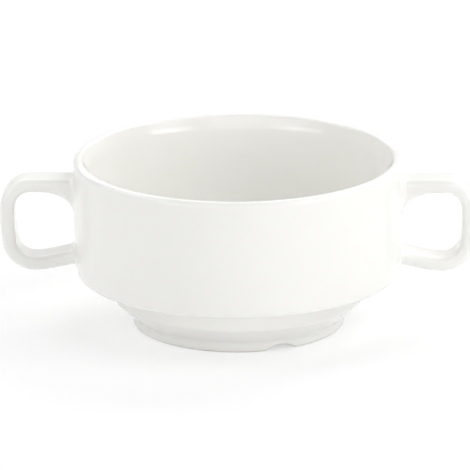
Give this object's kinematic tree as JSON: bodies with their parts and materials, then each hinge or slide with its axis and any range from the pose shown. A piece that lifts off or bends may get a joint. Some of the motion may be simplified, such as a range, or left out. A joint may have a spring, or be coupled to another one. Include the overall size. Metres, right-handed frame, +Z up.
{
  "type": "lug soup bowl",
  "caption": "Round stacking soup bowl in glazed porcelain, with a stepped foot and a looped handle on each side.",
  "frame": {"origin": "centre of the foot ring's resting plane, on the bowl's axis", "axes": "+Z up along the bowl's axis, +X through the right handle, -Y towards the front"},
  "size_m": [0.1664, 0.1154, 0.06],
  "materials": {
    "white_glaze": "glossy white glaze on vitrified porcelain",
    "handle_glaze": "glossy white glaze on cast porcelain",
    "fired_slip": "fired slip under the same glossy white glaze"
  },
  "bodies": {
    "root": {"bowl_body": "white_glaze", "left_handle": "handle_glaze", "right_handle": "handle_glaze", "left_upper_slip_joint": "fired_slip", "left_lower_slip_joint": "fired_slip", "right_upper_slip_joint": "fired_slip", "right_lower_slip_joint": "fired_slip"}
  },
  "joints": []
}
